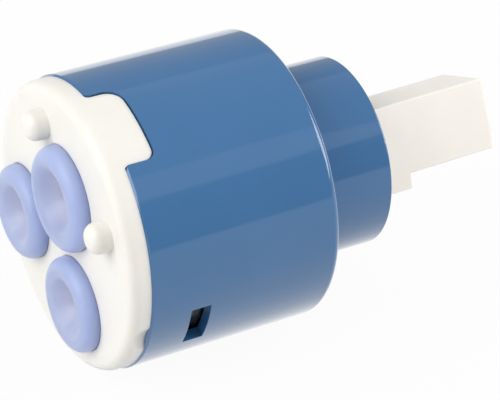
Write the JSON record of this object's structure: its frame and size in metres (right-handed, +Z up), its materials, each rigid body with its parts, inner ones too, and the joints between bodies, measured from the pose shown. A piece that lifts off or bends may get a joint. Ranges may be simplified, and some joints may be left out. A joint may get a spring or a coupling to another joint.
{
  "type": "ceramic disc tap cartridge",
  "caption": "Round single-lever mixer cartridge: blue stepped housing, white base with port seals, ceramic discs inside and a square lever that turns and tilts.",
  "frame": {"origin": "on the surface that the cartridge lies on, under the middle of its length", "axes": "+X along the cartridge's axis from the base to the lever, +Z up, lying on its side as pictured"},
  "size_m": [0.067, 0.04, 0.04],
  "materials": {
    "blue_housing": "satin",
    "white_base": "satin",
    "white_lever": "satin",
    "seal_silicone": "satin",
    "gasket_rubber": "matte",
    "disc_ceramic": "polished",
    "carrier_plastic": "matte",
    "guide_plastic": "satin",
    "slip_plastic": "satin",
    "screen_steel": "satin",
    "pin_steel": "polished"
  },
  "bodies": {
    "shell": {"housing": "blue_housing", "base": "white_base", "cold_seal": "seal_silicone", "hot_seal": "seal_silicone", "outlet_seal": "seal_silicone", "cold_gasket": "gasket_rubber", "hot_gasket": "gasket_rubber", "outlet_gasket": "gasket_rubber", "fixed_disc": "disc_ceramic", "friction_ring": "slip_plastic"},
    "guide": {"rotary_guide": "guide_plastic", "guide_o_ring": "gasket_rubber", "pivot_pin": "pin_steel"},
    "lever": {"lever": "white_lever"},
    "carrier": {"disc_carrier": "carrier_plastic", "moving_disc": "disc_ceramic", "chamber_seal": "gasket_rubber", "noise_screen": "screen_steel"}
  },
  "joints": [
    {"name": "guide_turn", "type": "hinge", "parent": "shell", "child": "guide", "pos_m": [0.00364, 0, 0.02], "axis": [1, 0, 0], "range_deg": [0, 90]},
    {"name": "lever_tilt", "type": "hinge", "parent": "guide", "child": "lever", "pos_m": [0.00364, 0, 0.02], "axis": [0, -0.9272, 0.3746], "range_deg": [0, 25]},
    {"name": "carrier_slide", "type": "slide", "parent": "guide", "child": "carrier", "axis": [0, -0.3746, -0.9272], "range_m": [0, 0.005]}
  ],
  "couplings": [
    {"joint": "carrier_slide", "follows": "lever_tilt", "m_per_rad": 0.011458}
  ]
}
